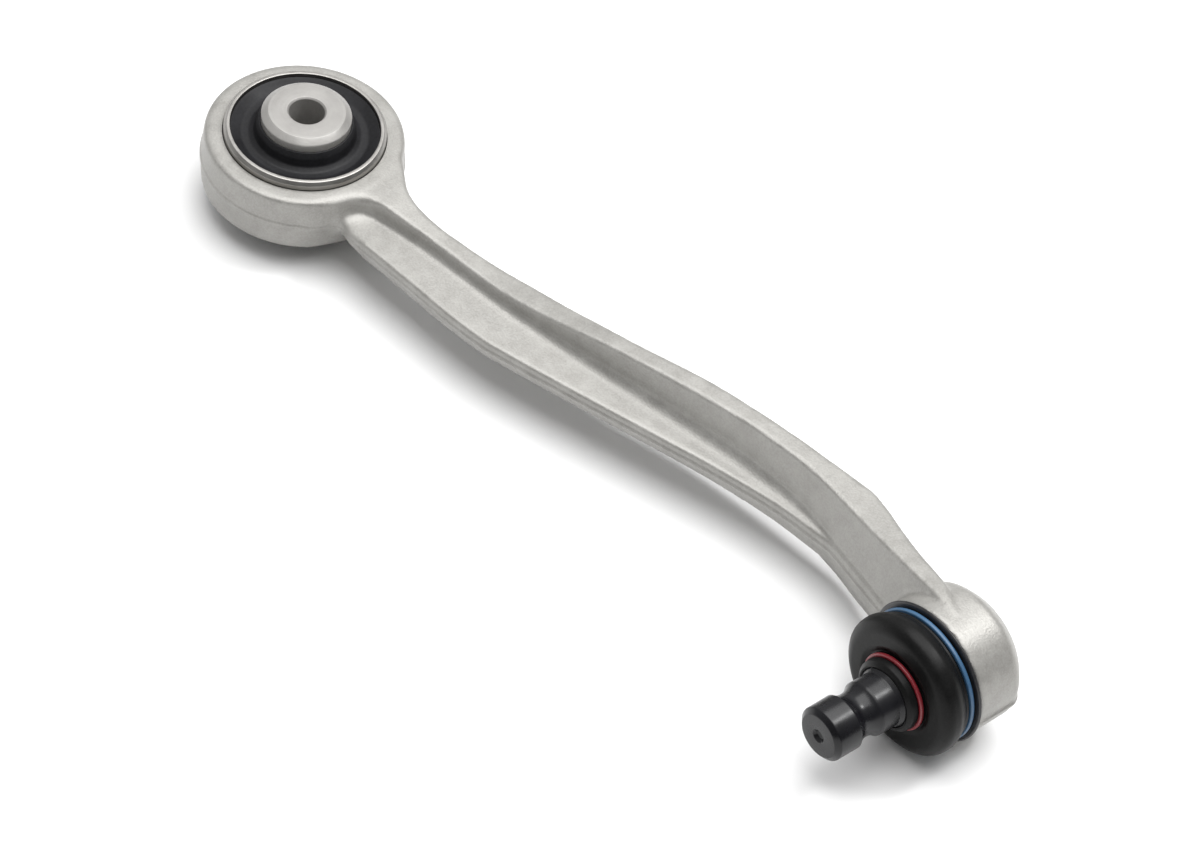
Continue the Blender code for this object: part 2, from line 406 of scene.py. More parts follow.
def smooth_line(line: Line, x: float) -> float:
    """Read an edge line at x by a monotone cubic through its points.

    Args:
        line: (distance along the arm, value) points in mm, in rising order.
        x: where to read it.

    Returns:
        The line's value at x.
    """
    if x <= line[0][0]:
        return line[0][1]
    if x >= line[-1][0]:
        return line[-1][1]
    slopes = [(b[1] - a[1]) / (b[0] - a[0]) for a, b in zip(line, line[1:])]
    tangents = [slopes[0]]
    for before, after in zip(slopes, slopes[1:]):
        tangents.append(2 * before * after / (before + after) if before * after > 0 else 0.0)
    tangents.append(slopes[-1])
    index = next(i for i in range(len(slopes)) if x <= line[i + 1][0])
    (x0, y0), (x1, y1) = line[index], line[index + 1]
    width = x1 - x0
    t = (x - x0) / width
    near, far = tangents[index] * width, tangents[index + 1] * width
    return (y0 * (2 * t**3 - 3 * t**2 + 1) + near * (t**3 - 2 * t**2 + t)
            + y1 * (3 * t**2 - 2 * t**3) + far * (t**3 - t**2))


def written(name: str, shape: bmesh.types.BMesh) -> bpy.types.Mesh:
    """Write a mesh to a new data block and free it.

    Args:
        name: the data block's name.
        shape: the mesh.

    Returns:
        The data block.
    """
    data = bpy.data.meshes.new(name)
    shape.to_mesh(data)
    shape.free()
    return data


def link(name: str, data: bpy.types.ID) -> bpy.types.Object:
    """Add an object to the scene, at the origin.

    Args:
        name: the object's name.
        data: its mesh, light or camera.

    Returns:
        The object.
    """
    made = bpy.data.objects.new(name, data)
    bpy.context.scene.collection.objects.link(made)
    return made


def shade(data: bpy.types.Mesh, sharp: float) -> None:
    """Shade a mesh smooth, and keep edges sharp that turn more than the given degrees."""
    data.shade_smooth()
    data.set_sharp_from_angle(angle=math.radians(sharp))


def to_object(name: str, shape: bmesh.types.BMesh, place: Matrix | None = None,
              sharp: float = 40.0) -> bpy.types.Object:
    """Write a mesh in mm to an object in metres that sits at the origin.

    Args:
        name: the piece's name.
        shape: the mesh; it is freed.
        place: the piece's own frame, in metres.
        sharp: edges that turn more than this many degrees stay sharp.

    Returns:
        The new object.
    """
    frame = (place or Matrix()) @ Matrix.Scale(MM, 4)
    bmesh.ops.transform(shape, matrix=frame, verts=shape.verts)
    data = written(name, shape)
    shade(data, sharp)
    return link(name, data)


def baked(piece: bpy.types.Object) -> bpy.types.Mesh:
    """Work out a piece's modifiers.

    Args:
        piece: the object with live modifiers.

    Returns:
        A new mesh with their result.
    """
    bpy.context.view_layer.update()
    graph = bpy.context.evaluated_depsgraph_get()
    return bpy.data.meshes.new_from_object(piece.evaluated_get(graph))


def dress(piece: bpy.types.Object, finish: Finish, node: str) -> None:
    """Give a piece its finish and slot, and hide the CAD node that it stands for.

    Args:
        piece: the piece.
        finish: its surface.
        node: the CAD node that it replaces.
    """
    piece.data.materials.append(finish.make())
    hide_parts(node)
    LOG.info("%s: %d faces", piece.name, len(piece.data.polygons))


@dataclass(frozen=True)
class Turning:
    """A turned piece: its name, the CAD node it replaces, its slot, its body and its outline."""

    name: str
    node: str
    slot: Slot
    body: Body
    outline: Outline
    closed: bool = True
    segments: int = 128

    def build(self, frame: Matrix, finishes: dict[Slot, Finish]) -> None:
        """Turn the piece, dress it and let it ride.

        Args:
            frame: the piece's own frame, in metres.
            finishes: the finish of each slot.
        """
        outline = rounded(self.outline, self.closed)
        piece = to_object(self.name, turned(outline, self.segments), frame)
        dress(piece, finishes[self.slot], self.node)
        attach(piece, self.body.value)


# --------------------------------------------------------------------------------------------
# The frame
# --------------------------------------------------------------------------------------------


@dataclass(frozen=True)
class Datum:
    """Where the bush and the ball joint are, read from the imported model.

    The two places are in metres. The core's half height is in mm, and it is also the height of
    the bush's mid plane and of the forging's parting line.
    """

    bush: Vector
    ball: Vector
    stud_axis: Vector
    core_half: float

    @classmethod
    def read(cls, joints: list[dict]) -> Datum:
        """Take the bush from its core's box and the ball from the stud's joint.

        Args:
            joints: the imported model's joints.

        Returns:
            The datum.
        """
        low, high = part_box("bush_inner_sleeve")
        spin = next(joint for joint in joints if joint["name"] == "stud_spin")
        axis = Vector(spin["axis"]).normalized()
        return cls((low + high) / 2, Vector(spin["pos_m"]), axis, (high.z - low.z) / 2 / MM)

    @property
    def bush_frame(self) -> Matrix:
        """Local Z is the bolt axis, and the origin is at the core's middle."""
        return Matrix.Translation(self.bush)

    @property
    def stud_frame(self) -> Matrix:
        """Local Z runs along the stud from the ball's centre, and local Y points up."""
        turn = self.stud_axis.to_track_quat("Z", "Y").to_matrix().to_4x4()
        return Matrix.Translation(self.ball) @ turn


# --------------------------------------------------------------------------------------------
# The forging
# --------------------------------------------------------------------------------------------


@dataclass
class Forging:
    """The arm itself: eye, channel beam and ball joint housing blended into one skin.

    Sizes are in mm. Edge lines are (distance from the bush's axis, value). Heights are above the
    surface that the arm lies on, and sideways values are from the bush's axis.
    """

    datum: Datum
    finishes: dict[Slot, Finish]

    # The tall flange's edges, and the depth of the web's lower side below the parting line.
    rim_top: Line = (
        (22, 27.4), (34, 27.2), (44, 26.3), (56, 25.6), (72, 25.3), (92, 26.8), (118, 30.8),
        (156, 33.8), (209, 36.4), (224, 38.2), (238, 40.1), (246, 41.3), (252, 41.6))
    rim_bottom: Line = (
        (22, 9.0), (34, 9.2), (55, 10.0), (131, 7.6), (165, 7.8), (190, 8.2), (206, 8.4),
        (216, 7.6), (252, 7.0))
    rim_outer: Line = (
        (22, 18.5), (25.5, 14.6), (28, 12.6), (30.5, 10.6), (32.8, 8.7), (35, 7.1), (38, 5.7),
        (43, 4.6), (50, 4.2), (62, 4.8), (88, 7.2), (116, 8.6), (154, 13.5), (182, 14.6),
        (205, 14.2), (213, 12.0), (221, 8.5), (230, 4.9), (243, 0.3), (252, -5.4))
    rim_inner: Line = (
        (22, -19.0), (26, -13.8), (27.5, -9.8), (29.6, -6.0), (32, -4.5), (35, -3.6),
        (42, -2.8), (55, -1.7), (80, -1.1), (105, 1.1), (156, 7.0), (170, 8.0), (183, 7.9),
        (192, 7.0), (203, 4.8), (215, 1.9), (227, -1.1), (238, -3.8), (252, -7.3))
    web_edge: Line = (
        (22, -12.0), (28, -12.2), (30.5, -13.2), (33.5, -14.3), (38, -14.4), (60, -15.1),
        (76, -15.8), (88, -15.5), (94, -14.6), (112, -11.4), (145, -5.0), (168, -0.7),
        (190, 1.8), (208, 2.0), (214, 2.2), (226, -0.8), (252, -7.4))
    web_depth: Line = ((150, 3.0), (172, 3.6), (190, 4.5), (205, 4.8))
    web_half: float = 3.0

    # The bend between the web and the flange: its size along the arm, the largest share of the
    # wall's height and of the web's width that it takes, and the degrees from point to point.
    foot: Line = (
        (22, 1.6), (60, 2.2), (90, 3.0), (120, 4.2), (150, 5.0), (185, 5.0), (205, 3.4))
    foot_of_wall: float = 0.75
    foot_of_web: float = 0.9
    foot_turn: int = 15

    stations: int = 150
    draft: float = 0.10
    back_share: float = 0.5
    chamfer: float = 0.5
    web_swell: float = 0.3

    # The eye and the housing before they are bored, and what is bored out of them.
    eye_half: float = 9.3
    eye_radius: float = 29.2
    eye_draft: float = 0.6
    eye_rounding: float = 1.6
    housing_outline: Outline = (
        (0, -12.8, 0), (15.4, -12.8, 0.5), (17.0, -11.5, 0.8), (19.4, -9.2, 0.8),
        (20.2, -7.7, 0.6), (20.2, 5.6, 0.3), (16.2, 5.6, 0.3), (16.2, 9.5, 0.5), (0, 9.5, 0))
    bore_radius: float = 24.05
    bore_half: float = 12.0
    socket_outline: Outline = (
        (0, -14.0, 0), (13.0, -14.0, 0), (13.0, -12.4, 0.2), (14.0, -12.1, 0.1),
        (14.0, 0.5, 0.3), (10.5, 5.7, 0.5), (11.3, 9.0, 0.4), (12.6, 11.0, 0), (0, 11.0, 0))
    segments: int = 96
    sharp: float = 38.0

    # The skin's grain and how it is relaxed: rounds everywhere, and rounds at the roots, which
    # are a region round the housing, a ring beside the eye and a nook where web and eye meet.
    voxel: float = 0.60
    relax_factor: float = 0.5
    skin_rounds: int = 3
    root_rounds: int = 12
    housing_reach: float = 24.5
    housing_span: Point = (-12.0, 4.2)
    housing_limit: float = 12.0
    eye_ring: Point = (29.0, 34.0)
    nook: Place = (30.0, -13.5, 0.0)
    nook_reaches: tuple[float, ...] = (9.0, 7.5, 6.0)

    # The flash: cuts and end in half widths from the parting line, how fast it fades where the
    # skin turns level, where it stops before the housing's neck, and its lower share by the eye
    # with the distance where it starts to grow and the length over which it does.
    flash_half: float = 0.5
    flash_proud: float = 0.5
    flash_cuts: tuple[float, ...] = (-2.2, -1.0, 1.0, 2.2)
    flash_end: float = 2.0
    flash_slope: float = 1.2
    neck_reach: float = 24.0
    neck_height: float = 4.6
    flash_least: float = 0.55
    flash_from: float = 62.0
    flash_growth: float = 25.0

    def section(self, x: float) -> list[Point]:
        """One cross-section of the beam: a tall flange with a thin web on its near side.

        Args:
            x: distance from the bush's axis in mm.

        Returns:
            The section's (sideways, height) points, anticlockwise from the web's upper edge.
        """
        parting = self.datum.core_half
        top, bottom = smooth_line(self.rim_top, x), smooth_line(self.rim_bottom, x)
        outer, inner = smooth_line(self.rim_outer, x), smooth_line(self.rim_inner, x)
        web_top, web_bottom = parting + self.web_half, parting - smooth_line(self.web_depth, x)
        tallest = max(top - web_top, web_bottom - bottom)
        limit = inner - self.draft * tallest - 2.0 * self.chamfer
        edge = min(smooth_line(self.web_edge, x), limit)

        def half(sign: int, web: float, rim: float) -> list[Point]:
            """The upper or the lower half of the channel, from the web's edge to the back.

            Args:
                sign: 1 for the upper half, -1 for the lower.
                web: the height of the web's face.
                rim: the height of the flange's rim.

            Returns:
                The half's points.
            """
            height = abs(rim - web)
            wall_foot = inner - self.draft * height
            floor = wall_foot - edge - self.chamfer
            bend = min(smooth_line(self.foot, x), self.foot_of_wall * height,
                       self.foot_of_web * floor)
            points = [(edge, web - sign * self.chamfer), (edge + self.chamfer, web)]
            for degrees in range(90, -1, -self.foot_turn):
                angle = math.radians(degrees)
                points.append((wall_foot - bend + bend * math.cos(angle),
                               web + sign * bend * (1 - math.sin(angle))))
            points += [(inner, rim - sign * self.chamfer), (inner + self.chamfer, rim),
                       (outer - self.chamfer, rim), (outer, rim - sign * self.chamfer)]
            return points

        back = [(outer + self.draft * (top - parting) * self.back_share, parting)]
        lower = half(-1, web_bottom, bottom)
        return half(1, web_top, top) + back + lower[::-1] + [(edge - self.web_swell, parting)]

    def beam(self) -> bmesh.types.BMesh:
        """Bridge the cross-sections from inside the eye to inside the housing.

        Returns:
            The beam's blank, in place.
        """
        shape = bmesh.new()
        first, last = self.rim_top[0][0], self.rim_top[-1][0]
        origin = self.datum.bush / MM
        loops = []
        for step in range(self.stations + 1):
            x = first + (last - first) * step / self.stations
            ring = [shape.verts.new((origin.x + x, origin.y + y, z)) for y, z in self.section(x)]
            loops.append([shape.edges.new(pair) for pair in zip(ring, ring[1:] + ring[:1])])
            if step in (0, self.stations):
                shape.faces.new(ring)
        for near, far in zip(loops, loops[1:]):
            bmesh.ops.bridge_loops(shape, edges=near + far)
        bmesh.ops.recalc_face_normals(shape, faces=shape.faces)
        return shape

    def eye(self) -> bmesh.types.BMesh:
        """The eye's blank, with draft to both sides of the parting line.

        Returns:
            The blank, in the bush's frame.
        """
        half, radius, size = self.eye_half, self.eye_radius, self.eye_rounding
        outline = rounded(((0, -half, 0), (radius, -half, size), (radius + self.eye_draft, 0, 0),
                           (radius, half, size), (0, half, 0)), closed=False)
        return turned(outline, self.segments)

    def housing(self) -> bmesh.types.BMesh:
        """The ball joint housing's blank, with its turned neck and its rolled-in back.

        Returns:
            The blank, in the stud's frame.
        """
        return turned(rounded(self.housing_outline, closed=False), self.segments)

    def skin(self) -> bmesh.types.BMesh:
        """Join the three blanks under one skin.

        Returns:
            The forging before it is relaxed and bored, in place.
        """
        joined = bmesh.new()
        data = bpy.data.meshes.new("forging_blank")
        frames = [Matrix(), self.datum.bush_frame, self.datum.stud_frame]
        for shape, frame in zip((self.beam(), self.eye(), self.housing()), frames):
            frame.translation /= MM
            bmesh.ops.transform(shape, matrix=frame, verts=shape.verts)
            shape.to_mesh(data)
            shape.free()
            joined.from_mesh(data)
        joined.to_mesh(data)
        joined.free()
        blank = link("forging_blank", data)
        remesh = blank.modifiers.new("skin", "REMESH")
        remesh.mode = "VOXEL"
        remesh.voxel_size = self.voxel
        result = baked(blank)
        whole = bmesh.new()
        whole.from_mesh(result)
        bpy.data.objects.remove(blank)
        for mesh in (data, result):
            bpy.data.meshes.remove(mesh)
        return whole

    def relax(self, shape: bmesh.types.BMesh, verts: list[bmesh.types.BMVert],
              rounds: int) -> None:
        """Draw vertices towards the middle of their neighbours.

        Args:
            shape: the mesh.
            verts: the vertices that move.
            rounds: how often they do.
        """
        for _ in range(rounds):
            bmesh.ops.smooth_vert(shape, verts=verts, factor=self.relax_factor,
                                  use_axis_x=True, use_axis_y=True, use_axis_z=True)

    def at_root(self, place: Vector) -> bool:
        """Whether a place is at one of the beam's two roots.

        Args:
            place: the place, in mm.

        Returns:
            True near the housing's wall or in the ring beside the eye.
        """
        arm = place - self.datum.ball / MM
        height = arm.dot(self.datum.stud_axis)
        reach = (arm - height * self.datum.stud_axis).length
        low, high = self.housing_span
        if (reach < self.housing_reach and low < height < high
                and arm.x < self.housing_limit and arm.z < self.housing_limit):
            return True
        bush = self.datum.bush / MM
        flat = Vector((place.x - bush.x, place.y - bush.y)).length
        near, far = self.eye_ring
        return near < flat < far and place.x > bush.x and place.y < bush.y

    def soften(self, shape: bmesh.types.BMesh) -> None:
        """Relax the whole skin a little, and the roots of the beam a little more.

        Args:
            shape: the skin, in mm.
        """
        self.relax(shape, list(shape.verts), self.skin_rounds)
        roots = [vert for vert in shape.verts if self.at_root(vert.co)]
        corner = self.datum.bush / MM + Vector(self.nook)
        nooks = [[vert for vert in shape.verts if (vert.co - corner).xy.length < reach]
                 for reach in self.nook_reaches]
        for chosen in (roots, *nooks):
            self.relax(shape, chosen, self.root_rounds)

    def raise_flash(self, shape: bmesh.types.BMesh) -> None:
        """Leave the trimmed flash standing along the parting line.

        Args:
            shape: the softened skin, in mm.
        """
        parting = self.datum.core_half
        for level in self.flash_cuts:
            height = parting + level * self.flash_half
            geometry = list(shape.verts) + list(shape.edges) + list(shape.faces)
            bmesh.ops.bisect_plane(shape, geom=geometry, dist=1e-5, plane_no=(0, 0, 1),
                                   plane_co=(0, 0, height))
        shape.normal_update()
        ball, axis = self.datum.ball / MM, self.datum.stud_axis
        for vert in shape.verts:
            away = abs(vert.co.z - parting) / self.flash_half
            on_neck = ((vert.co - ball).dot(axis) > self.neck_height
                       and vert.co.x > ball.x - self.neck_reach)
            if away > self.flash_end or on_neck:
                continue
            outward = Vector((vert.normal.x, vert.normal.y, 0.0))
            share = min(1.0, self.flash_end - away) * min(1.0, outward.length * self.flash_slope)
            along = vert.co.x - self.datum.bush.x / MM
            growth = (along - self.flash_from) / self.flash_growth
            share *= min(1.0, max(self.flash_least, growth))
            vert.co += outward.normalized() * self.flash_proud * share

    def bored(self, shape: bmesh.types.BMesh) -> bpy.types.Object:
        """Cut the bush's bore and the ball's socket out of the skin.

        Args:
            shape: the skin, in mm.

        Returns:
            The finished forging as an object in metres.
        """
        arm = to_object("forged_arm", shape)
        radius, half = self.bore_radius, self.bore_half
        bore = turned([(0, -half), (radius, -half), (radius, half), (0, half)])
        socket = turned(rounded(self.socket_outline, closed=False), self.segments)
        cutters = [to_object("bush_bore", bore, self.datum.bush_frame),
                   to_object("ball_socket", socket, self.datum.stud_frame)]
        for cutter in cutters:
            cut = arm.modifiers.new(cutter.name, "BOOLEAN")
            cut.operation = "DIFFERENCE"
            cut.solver = "EXACT"
            cut.object = cutter
        data = baked(arm)
        arm.modifiers.clear()
        arm.data = data
        for cutter in cutters:
            bpy.data.objects.remove(cutter)
        shade(data, self.sharp)
        return arm

    def build(self) -> None:
        """Make the forging and set it in place of its CAD node."""
        shape = self.skin()
        self.soften(shape)
        self.raise_flash(shape)
        arm = self.bored(shape)
        dress(arm, self.finishes[Slot.FORGING], "control_arm")
        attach(arm, Body.ARM.value)


# --------------------------------------------------------------------------------------------
# The bush
# --------------------------------------------------------------------------------------------


@dataclass
class Bush:
    """Outer sleeve, bonded rubber and inner core.

    Each outline is a piece's upper half: (radius, height above the piece's or the core's upper
    face, size of the rounding) in mm. The lower half is its mirror image.
    """

    datum: Datum
    finishes: dict[Slot, Finish]
    sleeve_half: float = 12.0
    sleeve_upper: Outline = ((21.9, 0.0, 0.25), (23.0, 0.0, 0.35), (23.8, -1.1, 0.4))
    core_upper: Outline = (
        (5.25, -0.5, 0.2), (5.75, 0.0, 0.2), (11.3, 0.0, 0.35), (13.2, -1.5, 0.5),
        (13.2, -4.4, 0.5), (9.4, -7.4, 1.0))
    rubber_upper: Outline = (
        (9.45, -7.6, 1.0), (13.25, -4.7, 0.5), (13.25, -3.8, 0.15), (13.7, -3.9, 0.3),
        (14.5, -5.7, 0.35), (14.9, -8.2, 1.0), (16.4, -9.3, 1.5), (18.6, -9.3, 1.8),
        (20.9, -7.8, 1.0), (21.85, -7.2, 0.2))

    @staticmethod
    def mirrored(upper: Outline, face: float) -> Outline:
        """Complete an outline whose lower half is its upper half's mirror image.

        Args:
            upper: the upper half, with heights from its face.
            face: the face's height above the mid plane.

        Returns:
            The whole outline, with heights from the mid plane.
        """
        above = tuple((radius, face + height, size) for radius, height, size in upper)
        below = tuple((radius, -height, size) for radius, height, size in above[::-1])
        return above + below

    def build(self) -> None:
        """Turn the sleeve, the core with its collar, waist and bolt hole, and the rubber."""
        half, frame = self.datum.core_half, self.datum.bush_frame
        Turning("bush_sleeve", "bush_outer_sleeve", Slot.SLEEVE, Body.ARM,
                self.mirrored(self.sleeve_upper, self.sleeve_half)).build(frame, self.finishes)
        Turning("bush_core", "bush_inner_sleeve", Slot.CORE, Body.CORE,
                self.mirrored(self.core_upper, half)).build(frame, self.finishes)
        Turning("bush_rubber_body", "bush_rubber", Slot.BUSH_RUBBER, Body.ARM,
                self.mirrored(self.rubber_upper, half)).build(frame, self.finishes)


# --------------------------------------------------------------------------------------------
# The ball joint
# --------------------------------------------------------------------------------------------


@dataclass
class BallJoint:
    """Stud, boot, rings, race and closing plate.

    Outlines are (radius, place along the stud from the ball's centre, size of the rounding) in
    mm. The tip's places are from the pin's end.
    """

    datum: Datum
    finishes: dict[Slot, Finish]

    # The stud: ball, neck and tapered collar, the pin's pinch groove, and the pin's tip.
    ball: float = 11.0
    neck: float = 6.0
    ball_steps: int = 24
    shoulder: Outline = (
        (6.0, 9.4, 0), (6.0, 12.2, 0.8), (8.3, 17.0, 0.6), (8.8, 18.2, 0.4), (8.8, 22.4, 0.4),
        (8.0, 23.6, 0.35), (8.0, 26.0, 0), (8.0, 26.1, 0))
    pin: float = 8.0
    groove: float = 6.55
    groove_centre: float = 33.3
    groove_half: float = 3.9
    groove_land: float = 0.35
    groove_steps: int = 14
    pin_end: float = 45.8
    tip: Outline = (
        (8.0, -1.3, 0.5), (6.5, 0.0, 0.5), (2.1, 0.0, 0.3), (1.3, -1.0, 0.3), (0.0, -1.5, 0.0))
    stud_segments: int = 112

    # The boot: a foot in its groove, a waist, one fat bulge and a lip on the collar, and where
    # along the stud a stretch would start and end.
    boot_outside: Outline = (
        (16.5, 7.1, 0.1), (18.3, 7.1, 0.1), (18.3, 9.0, 0.2), (19.3, 9.15, 0.3),
        (19.2, 10.0, 0.8), (19.9, 10.9, 2.0), (20.9, 13.2, 3.2), (20.7, 16.4, 3.0),
        (18.0, 18.3, 4.0), (13.4, 18.4, 2.0), (11.9, 17.7, 0.6), (10.35, 17.8, 0.3),
        (10.35, 19.4, 0.2), (10.9, 19.8, 0.4), (10.6, 21.6, 0.6), (9.5, 22.6, 0.3),
        (9.0, 22.5, 0.1))
    boot_inside: Outline = (
        (9.0, 17.9, 0.3), (10.3, 16.8, 0.5), (12.2, 16.3, 0.8), (14.6, 16.6, 1.5),
        (18.0, 16.2, 2.0), (19.3, 13.6, 1.5), (17.8, 11.0, 1.0), (16.5, 9.8, 0.4))
    boot_turn: float = 8.0
    boot_segments: int = 144
    boot_sharp: float = 60.0
    stretch_start: float = 9.5
    stretch_end: float = 18.0

    seat_ring: Turning = Turning(
        "seat_ring", "boot_seat_ring", Slot.SEAT, Body.ARM,
        ((16.35, 5.9, 0.1), (20.7, 5.9, 0.25), (21.1, 6.35, 0.3), (20.6, 6.85, 0.3),
         (16.35, 6.9, 0.1)))
    blue_ring: Turning = Turning(
        "blue_clamp_ring", "boot_outer_ring", Slot.BLUE, Body.ARM,
        ((18.4, 7.3, 0.2), (19.5, 7.35, 0.4), (19.7, 8.0, 0.5), (19.5, 8.65, 0.4),
         (18.4, 8.65, 0.2)))
    red_ring: Turning = Turning(
        "red_clamp_ring", "boot_inner_ring", Slot.RED, Body.NECK,
        ((10.4, 18.15, 0.25), (11.55, 18.15, 0.5), (11.55, 19.35, 0.5), (10.4, 19.35, 0.25)))
    disc: Turning = Turning(
        "closing_disc", "closing_plate", Slot.PLATE, Body.ARM,
        ((0, -11.7, 0), (9.0, -11.7, 1.0), (10.0, -12.05, 0.8), (13.9, -12.05, 0.2),
         (13.9, -11.15, 0.1), (0, -11.15, 0)), closed=False, segments=96)

    # The race: a cup round the ball from one latitude to another, in degrees, and its back.
    cup_radius: float = 11.1
    cup_latitudes: range = range(-58, 29, 4)
    race_back: Outline = ((10.4, 5.3, 0.1), (13.9, 0.4, 0.3), (13.9, -9.4, 0.4))

    def stud(self) -> None:
        """Ball, neck, tapered collar, clamp pin with its pinch groove, and a centre dimple."""
        start = math.acos(self.neck / self.ball)
        outline: list[Point] = [(0.0, -self.ball)]
        for step in range(1, self.ball_steps + 1):
            angle = -math.pi / 2 + (start + math.pi / 2) * step / self.ball_steps
            outline.append((self.ball * math.cos(angle), self.ball * math.sin(angle)))
        outline += rounded(self.shoulder, closed=False)
        rise = self.pin - self.groove
        size = (self.groove_half**2 + rise**2) / (2 * rise)
        sweep = math.asin(self.groove_half / size)
        outline.append((self.pin, self.groove_centre - self.groove_half - self.groove_land))
        for step in range(self.groove_steps + 1):
            angle = sweep * (2 * step / self.groove_steps - 1)
            outline.append((self.groove + size * (1 - math.cos(angle)),
                            self.groove_centre + size * math.sin(angle)))
        land = (self.pin, self.groove_centre + self.groove_half + self.groove_land, 0)
        tip = tuple((radius, self.pin_end + place, size) for radius, place, size in self.tip)
        outline += rounded((land, *tip), closed=False)
        piece = to_object("stud", turned(outline, self.stud_segments), self.datum.stud_frame)
        dress(piece, self.finishes[Slot.STUD], "ball_stud")
        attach(piece, Body.STUD.value)

    def boot(self) -> None:
        """The rubber boot, from its foot to its lip."""
        outline = rounded(self.boot_outside + self.boot_inside, turn=self.boot_turn)
        piece = to_object("boot", turned(outline, self.boot_segments), self.datum.stud_frame,
                          self.boot_sharp)
        dress(piece, self.finishes[Slot.BOOT_RUBBER], "dust_boot")
        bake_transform(piece)

    def race(self) -> Turning:
        """The plastic race: a cup that follows the ball, with a plain back.

        Returns:
            The piece to turn.
        """
        cup = tuple((self.cup_radius * math.cos(math.radians(latitude)),
                     self.cup_radius * math.sin(math.radians(latitude)), 0.0)
                    for latitude in self.cup_latitudes)
        return Turning("race", "ball_race", Slot.RACE, Body.SEAT, cup + self.race_back)

    def build(self) -> None:
        """Make the ball joint's pieces."""
        self.stud()
        self.boot()
        for turning in (self.seat_ring, self.blue_ring, self.red_ring, self.race(), self.disc):
            turning.build(self.datum.stud_frame, self.finishes)


# --------------------------------------------------------------------------------------------
# The studio
# --------------------------------------------------------------------------------------------

WHITE = (1.0, 1.0, 1.0, 1.0)


def aimed(place: Place, direction: Vector) -> Matrix:
    """The frame of a lamp or a camera.

    Args:
        place: where it is.
        direction: where it looks.

    Returns:
        Its frame, level before any roll.
    """
    return Matrix.Translation(place) @ direction.to_track_quat("-Z", "Y").to_matrix().to_4x4()


@dataclass(frozen=True)
class Lamp:
    """A square soft light: where it hangs, what it looks at, its side in metres, its watts."""

    name: str
    place: Place
    target: Place
    side: float
    power: float

    def hang(self) -> None:
        """Add the light to the scene."""
        data = bpy.data.lights.new(self.name, "AREA")
        data.shape = "SQUARE"
        data.size = self.side
        data.energy = self.power
        lamp = link(self.name, data)
        lamp.matrix_world = aimed(self.place, Vector(self.target) - Vector(self.place))


@dataclass
class Studio:
    """A pale sweep of floor, two lamps, the sky and the camera. Metres, and mm for the lens.

    The key hangs broad overhead and the small lamp is there for the glints. The sky is dim, and
    its strength rises towards its tilt.
    """

    floor_size: float = 12.0
    floor_drop: float = 0.0002
    floor_colour: Colour = (0.87, 0.87, 0.87)
    floor_rough: float = 0.9
    key: Lamp = Lamp("key", (0.0, 0.18, 1.25), (0.0, 0.02, 0.02), 1.4, 25.0)
    glint: Lamp = Lamp("glint", (0.43, 0.57, 1.03), (0.12, 0.0, 0.02), 0.17, 3.2)
    sky_tilt: Place = (-0.30, 0.15, 0.94)
    sky_range: Point = (-0.1, 0.9)
    sky_strength: Point = (0.06, 0.72)
    eye_point: Place = (0.52956, -0.72293, 0.98303)
    aim: Place = (-0.396822, 0.550155, -0.734753)
    roll: float = 9.70
    lens: float = 141.0
    sensor: float = 36.0
    clip: Point = (0.05, 50.0)

    def floor(self) -> None:
        """A wide pale floor, just under the part."""
        shape = bmesh.new()
        bmesh.ops.create_grid(shape, x_segments=1, y_segments=1, size=self.floor_size / 2)
        bmesh.ops.translate(shape, vec=(0, 0, -self.floor_drop), verts=shape.verts)
        floor = link("floor", written("floor", shape))
        material = bpy.data.materials.new("pale_floor")
        graph = Graph(material)
        inputs = graph.tree.nodes["Principled BSDF"].inputs
        graph.feed(inputs["Base Color"], (*self.floor_colour, 1.0))
        graph.feed(inputs["Roughness"], self.floor_rough)
        graph.feed(inputs["Specular IOR Level"], 0.0)
        floor.data.materials.append(material)

    def sky(self) -> None:
        """A dim white surround whose strength only depends on direction."""
        world = bpy.data.worlds.new("surround")
        graph = Graph(world)
        tilt = tuple(Vector(self.sky_tilt).normalized())
        look = graph.add("TexCoord").outputs["Generated"]
        facing = graph.add("VectorMath", look, tilt, operation="DOT_PRODUCT").outputs["Value"]
        (low, high), (dim, bright) = self.sky_range, self.sky_strength
        ramp = graph.add("MapRange", Value=facing, From_Min=low, From_Max=high, To_Min=dim,
                         To_Max=bright)
        ramp.interpolation_type = "SMOOTHSTEP"
        inputs = graph.tree.nodes["Background"].inputs
        graph.feed(inputs["Color"], WHITE)
        graph.feed(inputs["Strength"], ramp.outputs["Result"])
        bpy.context.scene.world = world

    def camera(self) -> None:
        """The camera, set by its place, its aim and its roll."""
        data = bpy.data.cameras.new("camera")
        data.lens = self.lens
        data.sensor_width = self.sensor
        data.clip_start, data.clip_end = self.clip
        camera = link("camera", data)
        turn = Matrix.Rotation(math.radians(self.roll), 4, "Z")
        camera.matrix_world = aimed(self.eye_point, Vector(self.aim)) @ turn
        bpy.context.scene.camera = camera

    def build(self) -> None:
        """Set up the floor, the lamps, the sky and the camera."""
        self.floor()
        self.key.hang()
        self.glint.hang()
        self.sky()
        self.camera()
        bpy.context.scene.view_settings.view_transform = "Standard"


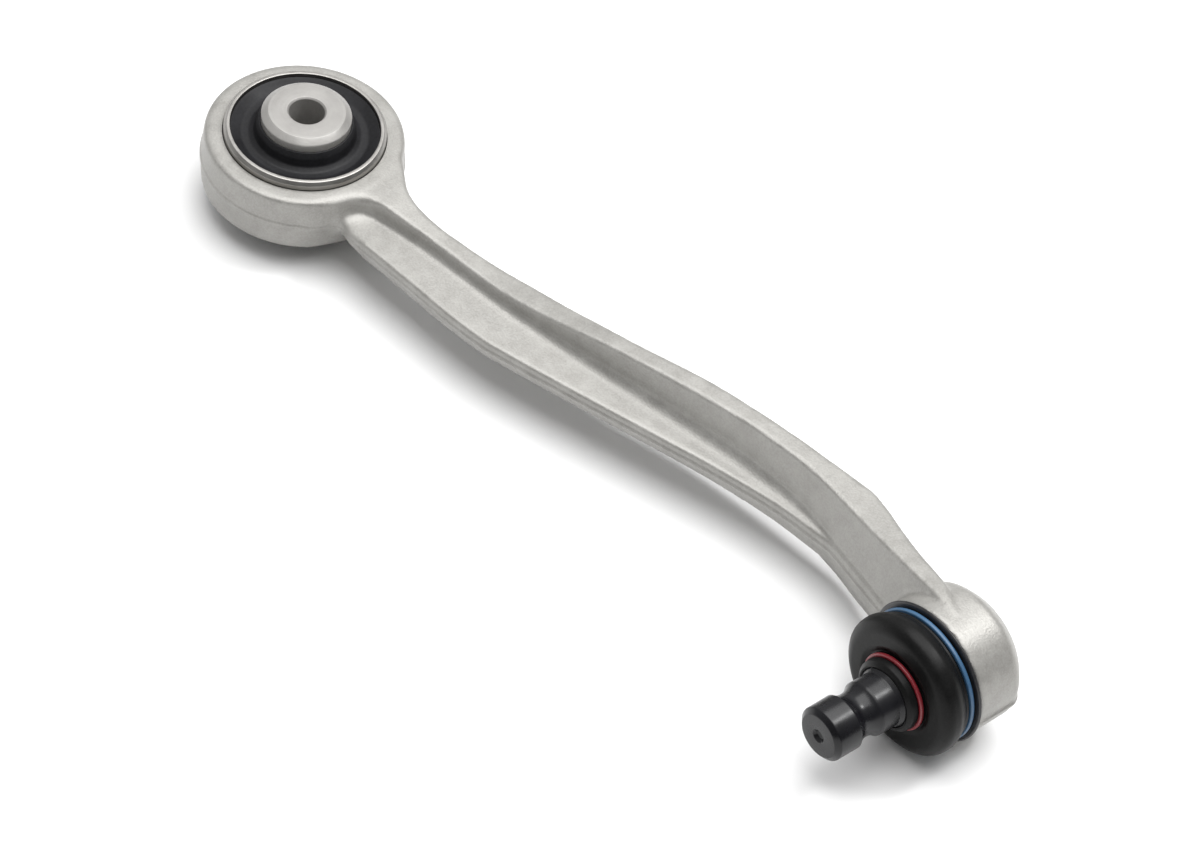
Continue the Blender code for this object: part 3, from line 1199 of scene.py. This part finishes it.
def choose_finishes(datum: Datum) -> dict[Slot, Finish]:
    """Every finish of the part.

    Args:
        datum: the frame, for the axes of the turned pieces.

    Returns:
        The finish of each slot.
    """
    bush, ball, axis = datum.bush, datum.ball, datum.stud_axis
    return {
        Slot.FORGING: Finish(
            "blasted_forging", (0.268, 0.261, 0.245), (0.345, 0.338, 0.320), (0.36, 0.46), 0.36,
            cloud=0.005, grain=0.0006, grain_depth=0.00008, swell=0.004, swell_depth=0.00004),
        Slot.SLEEVE: TurnedFinish(
            "turned_sleeve", (0.30, 0.29, 0.275), (0.43, 0.42, 0.40), (0.30, 0.42), 1.0,
            centre=bush, grain_depth=0.000006),
        Slot.CORE: TurnedFinish(
            "turned_core", (0.28, 0.272, 0.26), (0.38, 0.37, 0.355), (0.34, 0.46), 0.45,
            centre=bush, grain=0.0006, grain_depth=0.00005),
        Slot.BUSH_RUBBER: Finish(
            "moulded_bush_rubber", (0.007, 0.007, 0.008), (0.015, 0.015, 0.017), (0.42, 0.62),
            grain=0.0008, grain_depth=0.00002, specular=0.25),
        Slot.BOOT_RUBBER: Finish(
            "moulded_boot_rubber", (0.004, 0.004, 0.004), (0.008, 0.008, 0.008), (0.33, 0.43),
            swell=0.005, swell_depth=0.00006, specular=0.13),
        Slot.STUD: TurnedFinish(
            "black_phosphate", (0.004, 0.004, 0.005), (0.009, 0.009, 0.011), (0.22, 0.32),
            specular=0.32, centre=ball, axis=axis, grain=0.0003, grain_depth=0.000006),
        Slot.BLUE: Finish(
            "blue_coating", (0.034, 0.090, 0.170), (0.047, 0.115, 0.210), (0.30, 0.42)),
        Slot.RED: Finish(
            "red_coating", (0.16, 0.011, 0.017), (0.23, 0.017, 0.025), (0.32, 0.45)),
        Slot.RACE: Finish(
            "race_acetal", (0.70, 0.70, 0.66), (0.80, 0.80, 0.76), (0.40, 0.55)),
        Slot.SEAT: Finish(
            "seat_black", (0.010, 0.010, 0.012), (0.018, 0.018, 0.020), (0.30, 0.45)),
        Slot.PLATE: TurnedFinish(
            "pressed_plate", (0.42, 0.42, 0.41), (0.58, 0.58, 0.56), (0.25, 0.40), 1.0,
            centre=ball, axis=axis),
    }


def main() -> None:
    """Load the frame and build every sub-assembly."""
    logging.basicConfig(level=logging.INFO, format="%(name)s: %(message)s")
    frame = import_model()
    datum = Datum.read(frame["joints"])
    finishes = choose_finishes(datum)
    Studio().build()
    Forging(datum, finishes).build()
    Bush(datum, finishes).build()
    BallJoint(datum, finishes).build()


if __name__ == "__main__":
    main()
